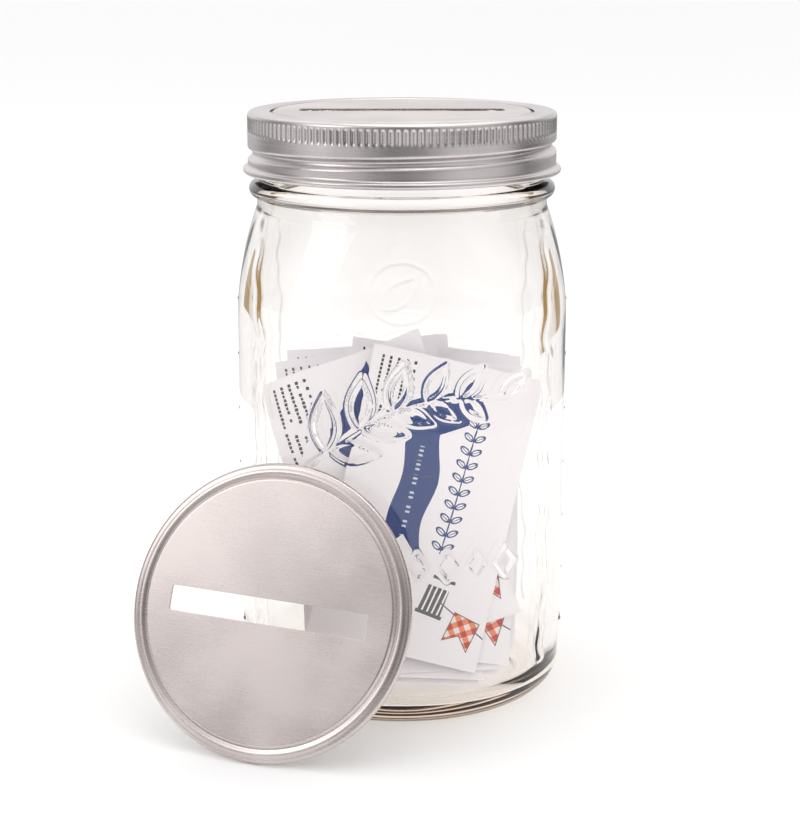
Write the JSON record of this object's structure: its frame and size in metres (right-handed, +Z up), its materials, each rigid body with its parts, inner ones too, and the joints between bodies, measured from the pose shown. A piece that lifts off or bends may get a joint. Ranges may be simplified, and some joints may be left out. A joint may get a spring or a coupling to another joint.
{
  "type": "coin bank jar",
  "caption": "Clear glass preserving jar turned into a coin bank: screw band over a slotted disc lid, a loose slotted lid leaning on it, cards inside.",
  "frame": {"origin": "on the jar's axis, on the surface that the jar stands on", "axes": "+Z up the jar's axis; +X to the right along the lid's slot; -Y towards the front, where the embossed panel is"},
  "size_m": [0.1259, 0.1272, 0.175],
  "materials": {
    "clear_glass": "clear, fire polished",
    "band_steel": "fine horizontal satin",
    "lid_steel": "fine satin, brushed across",
    "card_stock": "matt uncoated"
  },
  "bodies": {
    "jar": {"glass_jar": "clear_glass", "fallen_card_1": "card_stock", "fallen_card_2": "card_stock", "fallen_card_3": "card_stock", "fallen_card_4": "card_stock", "standing_card_1": "card_stock", "standing_card_2": "card_stock", "standing_card_3": "card_stock", "standing_card_4": "card_stock", "standing_card_5": "card_stock", "standing_card_6": "card_stock", "standing_card_7": "card_stock", "standing_card_8": "card_stock"},
    "lid": {"slotted_lid": "lid_steel"},
    "band": {"screw_band": "band_steel"},
    "loose_lid": {"loose_slotted_lid": "lid_steel"}
  },
  "joints": [
    {"name": "lid_rise", "type": "slide", "parent": "jar", "child": "lid", "axis": [0, 0, 1], "range_m": [0, 0.01016]},
    {"name": "band_turn", "type": "hinge", "parent": "lid", "child": "band", "pos_m": [0, 0, 0.166], "axis": [0, 0, 1], "range_deg": [0, 720]},
    {"name": "loose_lid_lift", "type": "slide", "parent": "jar", "child": "loose_lid", "axis": [0, 0, 1], "range_m": [0, 0.06]}
  ],
  "couplings": [
    {"joint": "lid_rise", "follows": "band_turn", "m_per_rad": 0.00080851}
  ]
}
